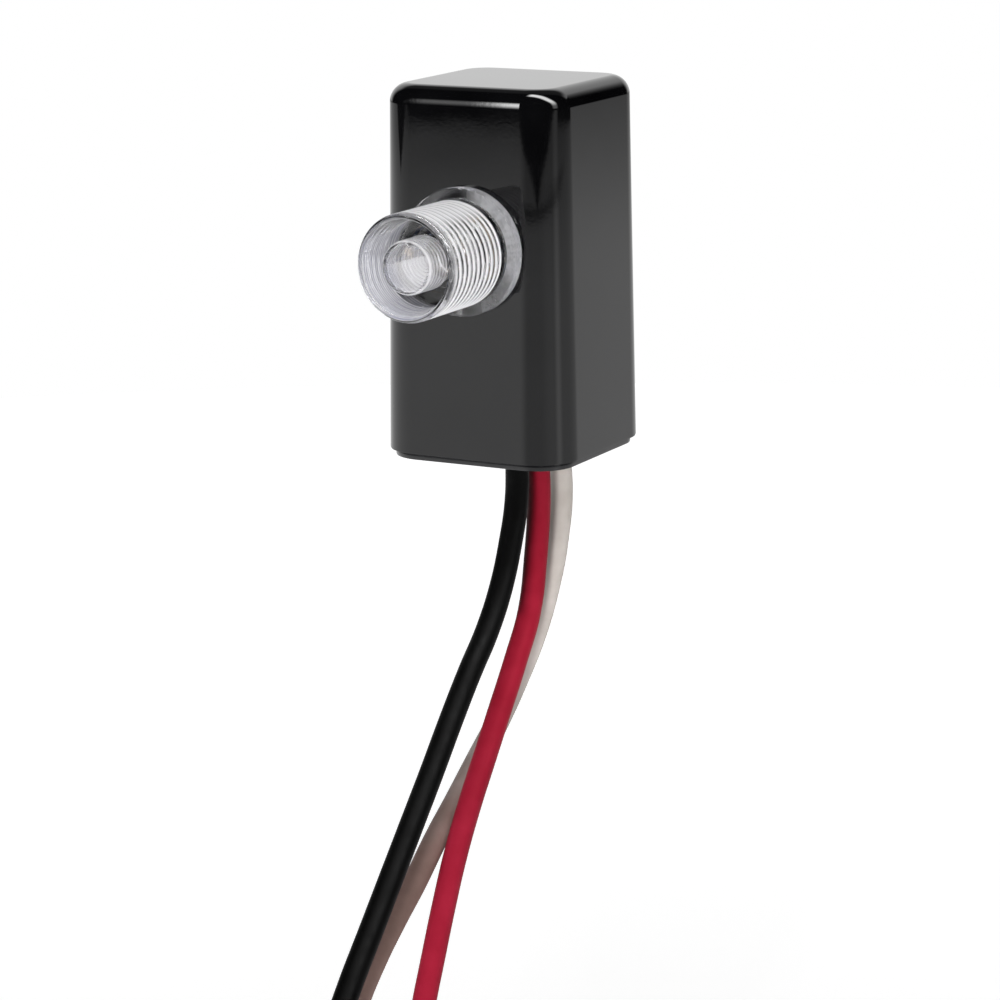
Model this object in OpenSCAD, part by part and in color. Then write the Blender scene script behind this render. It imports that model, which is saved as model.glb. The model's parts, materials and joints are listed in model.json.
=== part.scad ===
// Photocell switch: a drafted moulded housing with a threaded clear lens on its front wall
// and three leads that hang from its base plate.
// The origin is the centre of the lens flange's front face, where a panel seats.
// The lens points along -Y, +Z is up, and all sizes are in millimetres.

/* [Housing] */
// Height from the open bottom edge to the top
housing_h = 44; // [42:0.5:48]
// Width at the bottom edge
housing_w = 24.8; // [24:0.2:30]
// Depth at the bottom edge
housing_d = 24.8; // [24:0.2:30]
// Draft of the four walls, in degrees
draft = 0.9; // [0.3:0.1:1.4]
// Radius of the four upright corners
corner_r = 5.2; // [4.6:0.1:6]
// Radius of the edge round the top
top_edge_r = 2.3; // [0.8:0.1:2.6]
// Radius inside the cavity's top edge
cavity_edge_r = 0.8; // [0.4:0.1:1]
// Thickness of the walls
wall = 1.8; // [1.6:0.1:2.2]
// Height of the lens axis above the bottom edge
lens_z = 25; // [24:0.5:26.5]
// Least depth of the flat seat that is cut in the front wall for the lens flange
seat_depth = 0.15; // [0.13:0.01:0.4]

/* [Lens] */
// Diameter over the thread of the barrel
barrel_d = 12.7; // [12:0.1:13.5]
// Length of the barrel in front of the flange
barrel_l = 12.8; // [10:0.1:16]
// Diameter of the flange
flange_d = 15.2; // [14.6:0.1:17]
// Thickness of the flange
flange_t = 1.65; // [1.2:0.05:2.2]
// Width of the land between the flange and the thread's relief groove
land_w = 0.3; // [0.2:0.05:0.6]
// Width of the relief groove at the root of the thread
relief_w = 0.9; // [0.6:0.1:1.5]
// Depth of the relief groove
relief_depth = 0.5; // [0.2:0.05:0.6]
// Distance between the turns of the barrel's thread, which ring grooves stand in for
thread_pitch = 1.08; // [1:0.02:1.6]
// Depth of the thread
thread_depth = 0.4; // [0.2:0.05:0.45]
// Width of the thread's groove over the crests
groove_w = 0.6; // [0.4:0.05:0.8]
// Chamfer on the rim of the barrel
rim_chamfer = 0.35; // [0.1:0.05:0.4]
// Bore of the drafted cup at the rim
cup_d = 11.3; // [10.8:0.1:11.4]
// Bore of the cup at its floor
cup_floor_d = 10.4; // [9.4:0.1:10.8]
// Depth of the cup behind the rim
cup_depth = 4.6; // [3:0.1:9]
// Diameter of the hollow post that stands in the cup
post_d = 6.4; // [6:0.1:7.5]
// Wall of the hollow post
post_wall = 0.4; // [0.3:0.05:0.8]
// Thickness of the window at the post's end
window_t = 0.6; // [0.4:0.1:1]
// Distance of the post's end behind the rim
post_recess = 0.25; // [0:0.05:1]
// Diameter of the spigot that passes through the front wall
spigot_d = 10; // [9.4:0.1:10.8]
// Bore of the pocket in the spigot, which takes the light sensor
pocket_d = 7.8; // [7:0.1:8.2]
// Length of the spigot inside the cavity
spigot_stick = 0.6; // [0.3:0.1:1]

/* [Base plate] */
// Step from the housing's outer face in to the plate's edge
plate_inset = 0.7; // [0.3:0.1:1]
// Height of the plate that shows below the housing
plate_drop = 0.8; // [0.5:0.1:1.5]
// Thickness of the plate's floor inside the housing
floor_t = 0.9; // [0.6:0.1:1.2]
// Height of the plug ring inside the housing
plug_h = 3.2; // [3:0.1:3.8]
// Thickness of the plug ring
plug_wall = 1.1; // [0.8:0.1:1.4]
// Width of each snap hook and of its recess
hook_w = 6; // [4:0.5:8]
// Height of each snap hook
hook_h = 1; // [0.8:0.1:1.2]
// Distance of each snap hook beyond the plug ring
hook_reach = 0.55; // [0.4:0.05:0.7]

/* [Leads] */
// Diameter over the insulation
lead_d = 2.9; // [2.6:0.1:3.1]
// Diameter of the stranded conductor
conductor_d = 1.2; // [1:0.1:1.4]
// Length of bare conductor at the free end
strip_l = 10; // [6:0.5:14]
// Height of the collar round each lead, above the plate's floor
collar_h = 1.8; // [1:0.1:2.2]
// Wall of the collar round each lead
collar_wall = 0.9; // [0.6:0.1:1]

/* [Circuit board] */
// Thickness of the board
board_t = 1.6; // [1:0.1:1.6]
// Depth of the board from front to rear
board_d = 17.6; // [17:0.1:18]
// Gap between the board and the leads that pass beside it
board_gap = 0.35; // [0.2:0.05:0.6]
// Height of the board's lower edge above the bottom edge of the housing
board_foot_z = 4.5; // [4:0.1:5]
// Thickness of the guide ribs beside the board
rib_t = 1; // [0.8:0.1:1.2]
// Depth of the board's edge inside the guides
rib_grip = 0.9; // [0.7:0.1:1]

/* [Relay] */
// Length of the relay
relay_l = 15.2; // [13:0.1:15.4]
// Width of the relay
relay_w = 7; // [5:0.1:7.4]
// Height of the relay from the board
relay_h = 12.5; // [10:0.1:13]

/* [Capacitors] */
// Length of the film capacitor
film_l = 13; // [10:0.1:14]
// Width of the film capacitor
film_w = 6; // [4:0.1:6.4]
// Height of the film capacitor from the board
film_h = 11; // [9:0.1:13]
// Diameter of the smoothing capacitor
can_d = 8; // [6:0.1:8.2]
// Height of the smoothing capacitor from the board
can_h = 11.5; // [9:0.1:13]

/* [Light sensor] */
// Diameter of the sensor's disc
sensor_d = 5.1; // [4.5:0.1:6]
// Width of the sensor's disc across its two flats
sensor_flat_w = 4.4; // [4:0.1:4.5]
// Thickness of the sensor's disc
sensor_t = 2; // [1.5:0.1:2.2]
// Distance of the sensor's pins behind the front edge of the board
sensor_inset = 1; // [0.9:0.1:1.4]

/* [Hidden] */
$fn = 64;

// Clearance of one moulded piece in another
fit_gap = 0.1;
// Clearance of a pin in its hole, on each side
pin_gap = 0.1;
// Overshoot of a cut beyond the face that it passes
cut = 0.5;
// Steps of a rounded edge
edge_steps = 9;
// Inward step of a wall for each millimetre of height
slope = tan(draft);

// Middle of the housing, front to rear
housing_y = flange_t - seat_depth + housing_d / 2 - lens_z * slope;
// Bottom edge of the housing
housing_z = -lens_z;
// Depth from the flange's rear face to the end of the spigot
spigot_l = wall - seat_depth + spigot_stick;
// Size of the plug ring, taken where the drafted cavity is narrowest round it
plug_w = housing_w - 2 * wall - 2 * plug_h * slope - 2 * fit_gap;
plug_d = housing_d - 2 * wall - 2 * plug_h * slope - 2 * fit_gap;
plug_r = corner_r - wall - fit_gap;
// Height of the middle of the snap hooks above the bottom edge
hook_z = 2;
// Plane inside the thickness of a drafted wall at every height, from the middle of the housing
wall_plane = housing_d / 2 - (wall + housing_h * slope) / 2;

// Side offset of the row of leads, and their spacing from front to rear
lead_x = 3.2;
lead_pitch = 5.3;
lead_rows = [-lead_pitch, 0, lead_pitch];
// Diameter of the hole for a lead
lead_hole_d = lead_d + 2 * fit_gap;

// Face of the board that carries the tall components, and its lower and upper edges
board_x = lead_x + lead_d / 2 + board_gap;
board_back_x = board_x + board_t;
board_z0 = housing_z + board_foot_z;
board_z1 = housing_z + housing_h - wall - cavity_edge_r / 2;
// Width and height of the base plate's foot at each end of the board
foot_w = 1.5;
foot_rise = 1.4;
// Gap between the feet and the guide ribs above them
foot_gap = 0.6;

// Heights of the components, measured from the lens axis
relay_z = -12;
varistor_z = -5.3;
transistor_z = 3.8;
// Height of the film capacitor, kept at a gap below the cavity's top
film_top_gap = 0.4;
film_z = housing_h - lens_z - wall - film_top_gap - film_w / 2;
// Places of the components from the middle of the board towards the rear
can_y = 3.6;
film_y = 1.3;
varistor_y = -3.2;
transistor_y = -5.4;
resistor_y = -6.6;
// Disc of the varistor
varistor_d = 7;
varistor_t = 3.4;
varistor_lift = 0.7;
// Body of the power resistor that stands on the board, and the loop of its upper wire
resistor_d = 2.4;
resistor_l = 6.4;
resistor_lift = 0.5;
resistor_rise = 0.5;
resistor_step = 2.6;
// Body of the transistor, with its flat side and its height above the board
transistor_d = 4.6;
transistor_h = 4.4;
transistor_flat = 1.3;
transistor_lift = 1.6;
// Wire of the pins, and how far it stands out behind the board
pin_d = 0.6;
relay_pin_d = 0.9;
pin_stick = 1.2;
// Collar of solder round each pin
solder_r = 0.5;
solder_h = 0.8;
// Inner radius of a bent pin at its bend
bend_r = 0.8;
// Straight stretch of the sensor's pins before their bend
sensor_pin_rise = 0.4;
// Length of the varistor's pins inside its coat
varistor_pin_in = 2.3;
// Height of the bare conductors where they enter the board, above its lower edge
tail_z = 3.6;
// Corner radius of the moulded component cases
case_r = 0.8;

// Places of the pins on the board as [from the middle towards the rear, height from the lens axis]
relay_pins = [for (y = [-6, 6], z = [-2, 2]) [y, relay_z + z]];
film_pins = [for (y = [-5, 5]) [film_y + y, film_z]];
can_pins = [for (y = [-1.75, 1.75]) [can_y + y, 0]];
varistor_pins = [for (y = [-2.5, 2.5]) [varistor_y + y, varistor_z]];
transistor_pins = [for (y = [-1.8, 0, 1.8]) [transistor_y + y, transistor_z]];
resistor_pins = [for (z = [0, -resistor_step]) [resistor_y, film_z + z]];
sensor_pin_y = sensor_inset - board_d / 2;
sensor_back_y = housing_y + sensor_pin_y - bend_r - pin_d / 2 - sensor_pin_rise;
sensor_pins = [for (z = [-1.7, 1.7]) [sensor_pin_y, z]];
fine_pins = concat(film_pins, can_pins, varistor_pins, transistor_pins, resistor_pins, sensor_pins);
tail_pins = [for (y = lead_rows) [y, board_z0 + tail_z]];

// Chip parts behind the board: places as [towards the rear, height from the lens axis]
bridge_place = [0, -11.5];
zener_place = [4.2, 4.2];
chip_places = [[-3.2, -1.8], [-3.2, 1.6], [0, 7.6], [3.4, -6.6]];
bridge_size = [2.5, 4.7, 3.9];
zener_size = [2, 4.2, 2.6];
chip_size = [0.6, 3.2, 1.6];
// Thickness of the metal caps and legs of the chip parts
cap_t = 0.5;

// Height of a lead's inner end above the bottom edge of the housing
lead_top = 5.5;
// Middle lines of the leads, from the inner end down
route_black = [
    [3.2, 8.2, -19.5], [3.2, 8.2, -25.5], [3.2, 7.9, -31], [3.2, 6.2, -36], [3.2, 3.6, -41],
    [3.2, 0, -45.4], [3.2, -4.4, -49.3], [3.2, -9.2, -54], [3.2, -14, -59], [3.2, -19, -64],
    [3.2, -24, -69], [3.2, -29, -74], [3.2, -34, -79], [3.2, -38.6, -84.5], [3.2, -42.2, -91],
    [3.2, -44.6, -98], [3.2, -46, -105], [3.2, -46.6, -112], [3.2, -46.8, -119],
    [3.2, -46.8, -126], [3.2, -46.8, -133], [3.2, -46.8, -140.5], [3.2, -46.8, -148]
];
route_red = [
    [3.2, 13.5, -19.5], [3.2, 13.5, -25.5], [3.2, 13.4, -32], [3.2, 12.8, -39], [3.2, 11, -45.5],
    [3.2, 7.4, -50.6], [3.2, 3, -56], [3.2, -1.3, -61.2], [3.2, -5.2, -66], [3.2, -8.8, -71.2],
    [3.2, -11.7, -76.4], [3.2, -14.4, -81.8], [3.2, -17, -87.2], [3.2, -19.2, -93],
    [3.2, -20.8, -99], [3.2, -21.8, -105.4], [3.2, -22.3, -112], [3.2, -22.5, -119],
    [3.2, -22.5, -126], [3.2, -22.5, -133], [3.2, -22.5, -140], [3.2, -22.5, -149],
    [3.2, -22.5, -158]
];
route_white = [
    [3.2, 18.8, -19.5], [3.2, 18.8, -25.5], [3.2, 19.3, -32], [3.2, 18.2, -38], [2.4, 16.9, -43.8],
    [1.6, 14.9, -49.6], [0.9, 11.7, -54.8], [0.4, 7.4, -59.2], [0.2, 2.4, -62.8],
    [0.2, -2.8, -66.2], [0.2, -7.9, -69.4], [0.2, -13, -73.1], [0.2, -18.2, -76.4],
    [0.2, -23, -79.8], [0.2, -27.4, -83.8], [0.2, -31, -89], [0.2, -33.6, -95],
    [0.2, -35.2, -101.6], [0.2, -36, -108.4], [0.2, -36.2, -115.4], [0.2, -36.2, -122.4],
    [0.2, -36.2, -129.4], [0.2, -36.2, -137], [0.2, -36.2, -144.6]
];
// Sides of a lead's tube
lead_sides = 8;

function unit(v) = v / norm(v);

// Direction of a route at one of its points
function heading(route, i) = unit(route[min(i + 1, len(route) - 1)] - route[max(i - 1, 0)]);

// One ring of a tube, square to the route at that point
function tube_ring(route, i, r) =
    let (along = heading(route, i))
    let (across = unit(cross(along, [1, 0, 0])))
    let (side = cross(across, along))
    [for (k = [0 : lead_sides - 1])
        let (a = (k + 0.5) * 360 / lead_sides)
        route[i] + r * (cos(a) * side + sin(a) * across)];

// Half of an upright section: a drafted wall with a rounded top edge, continued below its foot
module half_section(half, height, edge_r, below = 0) {
    arc_z = height - edge_r;
    arc_x = half - slope * arc_z - edge_r / cos(draft);
    arc = [
        for (k = [0 : edge_steps])
            let (a = draft + (90 - draft) * k / edge_steps)
            [arc_x + edge_r * cos(a), arc_z + edge_r * sin(a)]
    ];
    polygon(concat([[0, -below], [half + slope * below, -below]], arc, [[0, height]]));
}

// Both halves of that section
module full_section(half, height, edge_r, below = 0) {
    half_section(half, height, edge_r, below);
    mirror([1, 0]) half_section(half, height, edge_r, below);
}

// Drafted block with round upright corners and a rounded top edge, standing on z = 0
module drafted_block(width, depth, height, r, edge_r, below = 0) {
    rotate([90, 0, 90])
        linear_extrude(height = width - 2 * r, center = true)
            full_section(depth / 2, height, edge_r, below);
    rotate([90, 0, 0])
        linear_extrude(height = depth - 2 * r, center = true)
            full_section(width / 2, height, edge_r, below);
    for (x = [-1, 1], y = [-1, 1])
        translate([x * (width / 2 - r), y * (depth / 2 - r), 0])
            rotate_extrude()
                half_section(r, height, edge_r, below);
}

// Rectangle with round corners, about its middle
module rounded_rect(width, depth, r) {
    square([width - 2 * r, depth], center = true);
    square([width, depth - 2 * r], center = true);
    for (x = [-1, 1], y = [-1, 1])
        translate([x * (width / 2 - r), y * (depth / 2 - r)])
            circle(r);
}

// Upright block with round corners, from z0 to z1
module rounded_block(width, depth, r, z0, z1) {
    translate([0, 0, z0])
        linear_extrude(height = z1 - z0)
            rounded_rect(width, depth, r);
}

// Box between two corners
module span_box(low, high) {
    translate(low) cube(high - low);
}

// Places its children in the housing's own frame, on the middle of its bottom edge
module at_housing() {
    translate([0, housing_y, housing_z]) children();
}

// Places a shape that stands along +Z on the lens axis, towards the front
module on_lens_axis() {
    rotate([90, 0, 0]) children();
}

// Places a shape that stands along +Z on the board's component side, at a pin's place
module on_board(place) {
    translate([board_x, housing_y + place[0], place[1]])
        rotate([0, -90, 0])
            children();
}

// Places a shape that stands along +Z on the rear side of the board
module behind_board(place) {
    translate([board_back_x, housing_y + place[0], place[1]])
        rotate([0, 90, 0])
            children();
}

// Straight pins through the board, from a height above it
module pins(places, d, above = 0) {
    for (p = places)
        translate([board_x - above, housing_y + p[0], p[1]])
            rotate([0, 90, 0])
                cylinder(d = d, h = above + board_t + pin_stick);
}

// Two upright ribs on the front or rear wall, with the board's edge between them
module guide_pair(wall_side, z0, z1) {
    reach = board_d / 2 - rib_grip;
    low_x = board_x - fit_gap - rib_t;
    high_x = board_back_x + fit_gap;
    for (x = [low_x, high_x])
        span_box(
            [x, wall_side > 0 ? reach : -wall_plane, z0],
            [x + rib_t, wall_side > 0 ? wall_plane : -reach, z1]
        );
}

// Guide ribs for the board: whole at the rear, and clear of the lens hole at the front
module board_guides() {
    ribs_z0 = board_foot_z + foot_rise + foot_gap;
    ribs_z1 = housing_h - wall / 2;
    lens_gap = spigot_d / 2 + rib_t;
    guide_pair(1, ribs_z0, ribs_z1);
    guide_pair(-1, ribs_z0, lens_z - lens_gap);
    guide_pair(-1, lens_z + lens_gap, ribs_z1);
}

// Recesses inside the side walls for the snap hooks
module snap_recesses() {
    reach = plug_w / 2 + hook_reach + fit_gap;
    half_w = hook_w / 2 + fit_gap;
    half_h = hook_h / 2 + fit_gap;
    span_box([-reach, -half_w, hook_z - half_h], [reach, half_w, hook_z + half_h]);
}

module housing() {
    color("#1b1b1d")
        difference() {
            at_housing() {
                difference() {
                    drafted_block(housing_w, housing_d, housing_h, corner_r, top_edge_r);
                    drafted_block(
                        housing_w - 2 * wall, housing_d - 2 * wall, housing_h - wall,
                        corner_r - wall, cavity_edge_r, cut
                    );
                    snap_recesses();
                }
                board_guides();
            }
            on_lens_axis() {
                translate([0, 0, -flange_t])
                    cylinder(d = flange_d + 2 * fit_gap, h = flange_t + cut);
                translate([0, 0, -flange_t - wall - cut])
                    cylinder(d = spigot_d + 2 * fit_gap, h = wall + 2 * cut);
            }
        }
}

// Snap hook with a sloped lead-in, on the +X side of the plug ring
module snap_hook() {
    root = plug_w / 2 - plug_wall / 2;
    tip = plug_w / 2 + hook_reach;
    translate([0, hook_w / 2, hook_z - hook_h / 2])
        rotate([90, 0, 0])
            linear_extrude(height = hook_w)
                polygon([[root, 0], [tip, 0], [tip, hook_h / 3], [root, hook_h]]);
}

// Foot that takes the lower corner of the board in a slot
module board_foot(y) {
    cheek = rib_t + fit_gap;
    difference() {
        span_box(
            [board_x - cheek, y - foot_w / 2, floor_t / 2],
            [board_back_x + cheek, y + foot_w / 2, board_foot_z + foot_rise]
        );
        span_box(
            [board_x - fit_gap, y - foot_w, board_foot_z],
            [board_back_x + fit_gap, y + foot_w, board_foot_z + foot_rise + cut]
        );
    }
}

module base_plate() {
    foot_y = board_d / 2 - foot_w / 2 - fit_gap;
    pocket = 2 * plug_wall;
    color("#202022")
        at_housing()
            difference() {
                union() {
                    rounded_block(
                        housing_w - 2 * plate_inset, housing_d - 2 * plate_inset,
                        corner_r - plate_inset, -plate_drop, 0
                    );
                    difference() {
                        rounded_block(plug_w, plug_d, plug_r, -plate_drop / 2, plug_h);
                        rounded_block(
                            plug_w - pocket, plug_d - pocket, plug_r - plug_wall,
                            floor_t, plug_h + cut
                        );
                    }
                    for (y = lead_rows)
                        translate([lead_x, y, floor_t / 2])
                            cylinder(d = lead_hole_d + 2 * collar_wall, h = floor_t / 2 + collar_h);
                    for (y = [-foot_y, foot_y])
                        board_foot(y);
                    snap_hook();
                    mirror([1, 0, 0]) snap_hook();
                }
                for (y = lead_rows)
                    translate([lead_x, y, -plate_drop - cut])
                        cylinder(d = lead_hole_d, h = plate_drop + floor_t + collar_h + 2 * cut);
            }
}

// Clear lens: flange, barrel with an open cup, hollow post and hollow spigot, turned about its axis
module lens() {
    barrel_r = barrel_d / 2;
    relief_r = barrel_r - relief_depth;
    relief_end = land_w + relief_w;
    cup_floor = barrel_l - cup_depth;
    post_end = barrel_l - post_recess;
    well_r = post_d / 2 - post_wall;
    well_end = post_end - window_t;
    back = -flange_t - spigot_l;
    turns = floor((barrel_l - rim_chamfer - relief_end) / thread_pitch);
    grooves = [
        for (turn = [1 : turns])
            let (groove_s = relief_end + (turn - 1 / 2) * thread_pitch)
                each [
                    [barrel_r, groove_s - groove_w / 2],
                    [barrel_r - thread_depth, groove_s],
                    [barrel_r, groove_s + groove_w / 2]
                ]
    ];
    color("#dfe2ee", 0.45)
        on_lens_axis()
            rotate_extrude()
                polygon(concat([
                    [0, well_end],
                    [well_r, well_end],
                    [well_r, -flange_t],
                    [pocket_d / 2, -flange_t],
                    [pocket_d / 2, back],
                    [spigot_d / 2, back],
                    [spigot_d / 2, -flange_t],
                    [flange_d / 2, -flange_t],
                    [flange_d / 2, 0],
                    [barrel_r, 0],
                    [barrel_r, land_w],
                    [relief_r, land_w],
                    [relief_r, relief_end],
                    [barrel_r, relief_end]
                ], grooves, [
                    [barrel_r, barrel_l - rim_chamfer],
                    [barrel_r - rim_chamfer, barrel_l],
                    [cup_d / 2, barrel_l],
                    [cup_floor_d / 2, cup_floor],
                    [post_d / 2, cup_floor],
                    [post_d / 2, post_end],
                    [0, post_end]
                ]));
}

module circuit_board() {
    hole_over = board_t + 2 * cut;
    color("#2f6b45")
        difference() {
            span_box(
                [board_x, housing_y - board_d / 2, board_z0],
                [board_back_x, housing_y + board_d / 2, board_z1]
            );
            for (p = fine_pins)
                behind_board(p)
                    translate([0, 0, -hole_over + cut])
                        cylinder(d = pin_d + 2 * pin_gap, h = hole_over);
            for (p = relay_pins)
                behind_board(p)
                    translate([0, 0, -hole_over + cut])
                        cylinder(d = relay_pin_d + 2 * pin_gap, h = hole_over);
            for (p = tail_pins)
                behind_board(p)
                    translate([0, 0, -hole_over + cut])
                        cylinder(d = conductor_d + 2 * pin_gap, h = hole_over);
        }
}

// Wire that rises along +Z, bends by a right angle and runs along +X: rise and run are straight
module bent_wire(d, rise, run) {
    cylinder(d = d, h = rise);
    translate([bend_r + d / 2, 0, rise])
        rotate([90, 0, 180])
            rotate_extrude(angle = 90)
                translate([bend_r + d / 2, 0])
                    circle(d = d);
    translate([bend_r + d / 2, 0, rise + bend_r + d / 2])
        rotate([0, 90, 0])
            cylinder(d = d, h = run);
}

// Disc with its sensitive face to the lens, and two pins that turn to the board
module light_sensor() {
    turn = bend_r + pin_d / 2;
    color("#c79a72") {
        translate([0, sensor_back_y, 0])
            on_lens_axis()
                intersection() {
                    cylinder(d = sensor_d, h = sensor_t);
                    translate([0, 0, sensor_t / 2])
                        cube([sensor_flat_w, sensor_d, sensor_t], center = true);
                }
        for (p = sensor_pins)
            translate([0, sensor_back_y, p[1]])
                rotate([-90, 0, 0])
                    bent_wire(pin_d, sensor_pin_rise, board_back_x + pin_stick - turn);
    }
}

module relay() {
    color("#d9d4c4") {
        on_board([0, relay_z])
            linear_extrude(height = relay_h)
                rounded_rect(relay_w, relay_l, case_r);
        pins(relay_pins, relay_pin_d);
    }
}

module film_capacitor() {
    color("#c9a227") {
        on_board([film_y, film_z])
            linear_extrude(height = film_h)
                rounded_rect(film_w, film_l, case_r);
        pins(film_pins, pin_d);
    }
}

// Rolled can with a crimp groove near its foot
module smoothing_capacitor() {
    can_r = can_d / 2;
    crimp_z = 2;
    crimp_r = 0.5;
    color("#26374f") {
        on_board([can_y, 0])
            rotate_extrude()
                difference() {
                    square([can_r, can_h]);
                    translate([can_r + crimp_r / 2, crimp_z]) circle(crimp_r);
                }
        pins(can_pins, pin_d);
    }
}

// Coated disc that stands edge-on to the board
module varistor() {
    rim_r = varistor_t / 2;
    color("#3566a8") {
        translate([board_x - varistor_lift - varistor_d / 2, housing_y + varistor_y, varistor_z])
            rotate_extrude()
                union() {
                    square([varistor_d / 2 - rim_r, varistor_t / 2]);
                    translate([0, -varistor_t / 2]) square([varistor_d / 2 - rim_r, varistor_t / 2]);
                    intersection() {
                        translate([varistor_d / 2 - rim_r, 0]) circle(rim_r);
                        translate([0, -varistor_t / 2]) square([varistor_d / 2, varistor_t]);
                    }
                }
        pins(varistor_pins, pin_d, varistor_lift + varistor_pin_in);
    }
}

// Resistor that stands on the board, with its upper wire looped back down into it
module power_resistor() {
    loop_r = resistor_step / 2;
    body_top = resistor_lift + resistor_l;
    loop_z = body_top + resistor_rise;
    color("#8f8a7d") {
        on_board(resistor_pins[0]) {
            translate([0, 0, resistor_lift])
                cylinder(d = resistor_d, h = resistor_l);
            translate([0, 0, body_top])
                cylinder(d = pin_d, h = resistor_rise);
            translate([-loop_r, 0, loop_z])
                rotate([90, 0, 0])
                    rotate_extrude(angle = 180)
                        translate([loop_r, 0])
                            circle(d = pin_d);
        }
        pins([resistor_pins[0]], pin_d, resistor_lift);
        pins([resistor_pins[1]], pin_d, loop_z);
    }
}

module transistor() {
    color("#232323") {
        on_board([transistor_y, transistor_z])
            translate([0, 0, transistor_lift])
                difference() {
                    cylinder(d = transistor_d, h = transistor_h);
                    translate([transistor_flat, -transistor_d, -cut])
                        cube([transistor_d, 2 * transistor_d, transistor_h + 2 * cut]);
                }
        pins(transistor_pins, pin_d, transistor_lift);
    }
}

// Four-legged rectifier behind the board
module bridge_rectifier() {
    leg_w = 0.6;
    leg_y = 1.25;
    foot = 0.9;
    color("#2a2a2c")
        behind_board(bridge_place) {
            translate([-bridge_size[2] / 2, -bridge_size[1] / 2, cap_t / 2])
                cube([bridge_size[2], bridge_size[1], bridge_size[0] - cap_t / 2]);
            for (x = [-1, 1], y = [-leg_y, leg_y])
                translate([x * bridge_size[2] / 2 - foot, y - leg_w / 2, 0])
                    cube([2 * foot, leg_w, cap_t]);
        }
}

// Block with a metal cap round each end, lying behind the board
module end_capped_block(size, body_color) {
    color(body_color)
        translate([-size[2] / 2 + cap_t / 4, -size[1] / 2 + cap_t / 2, cap_t / 4])
            cube([size[2] - cap_t / 2, size[1] - cap_t, size[0] - cap_t / 4]);
    color("#b9bcc0")
        for (y = [-1, 1])
            translate([-size[2] / 2, y * (size[1] - cap_t) / 2 - cap_t / 2, 0])
                cube([size[2], cap_t, size[0]]);
}

module zener_diode() {
    behind_board(zener_place) end_capped_block(zener_size, "#303034");
}

module chip_resistors() {
    for (p = chip_places)
        behind_board(p) end_capped_block(chip_size, "#1d1d20");
}

// Collars of solder round every pin, behind the board
module solder_joints() {
    color("#bfc3c6") {
        for (p = fine_pins)
            behind_board(p) solder_collar(pin_d);
        for (p = relay_pins)
            behind_board(p) solder_collar(relay_pin_d);
        for (p = tail_pins)
            behind_board(p) solder_collar(conductor_d);
    }
}

// One collar of solder with the pin's bore
module solder_collar(d) {
    difference() {
        cylinder(r1 = d / 2 + solder_r, r2 = d / 2 + solder_r / 3, h = solder_h);
        translate([0, 0, -cut]) cylinder(d = d, h = solder_h + 2 * cut);
    }
}

// Bare inner ends of the leads, bent into the board
module lead_tails() {
    turn = bend_r + conductor_d / 2;
    rise = tail_pins[0][1] - housing_z - lead_top - turn;
    color("#c98b5e")
        at_housing()
            for (y = lead_rows)
                translate([lead_x, y, lead_top])
                    bent_wire(conductor_d, rise, board_back_x + pin_stick - lead_x - turn);
}

// Tube along a lead's middle line
module lead_tube(route) {
    count = len(route);
    points = [for (i = [0 : count - 1]) each tube_ring(route, i, lead_d / 2)];
    first = [for (k = [0 : lead_sides - 1]) k];
    last = [for (k = [lead_sides - 1 : -1 : 0]) (count - 1) * lead_sides + k];
    skin = [
        for (i = [0 : count - 2], k = [0 : lead_sides - 1])
            let (a = i * lead_sides + k)
            let (b = i * lead_sides + (k + 1) % lead_sides)
            each [[a, a + lead_sides, b + lead_sides], [a, b + lead_sides, b]]
    ];
    polyhedron(points, concat([first, last], skin));
}

// Bare conductor below a lead's free end
module strand_end(route) {
    color("#c98b5e")
        translate(route[len(route) - 1] - [0, 0, strip_l])
            cylinder(d = conductor_d, h = strip_l);
}

module lead_black() { color("#1a1a1a") lead_tube(route_black); }
module lead_red() { color("#a32035") lead_tube(route_red); }
module lead_white() { color("#c9c2ba") lead_tube(route_white); }

module strands_black() { strand_end(route_black); }
module strands_red() { strand_end(route_red); }
module strands_white() { strand_end(route_white); }

housing();
base_plate();
lens();
circuit_board();
light_sensor();
relay();
film_capacitor();
smoothing_capacitor();
varistor();
power_resistor();
transistor();
bridge_rectifier();
zener_diode();
chip_resistors();
solder_joints();
lead_tails();
lead_black();
lead_red();
lead_white();
strands_black();
strands_red();
strands_white();
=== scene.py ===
import json
from math import cos, floor, pi, radians, sin, sqrt, tan
from types import SimpleNamespace

import bmesh
import bpy
from mathutils import Matrix, Vector


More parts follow.
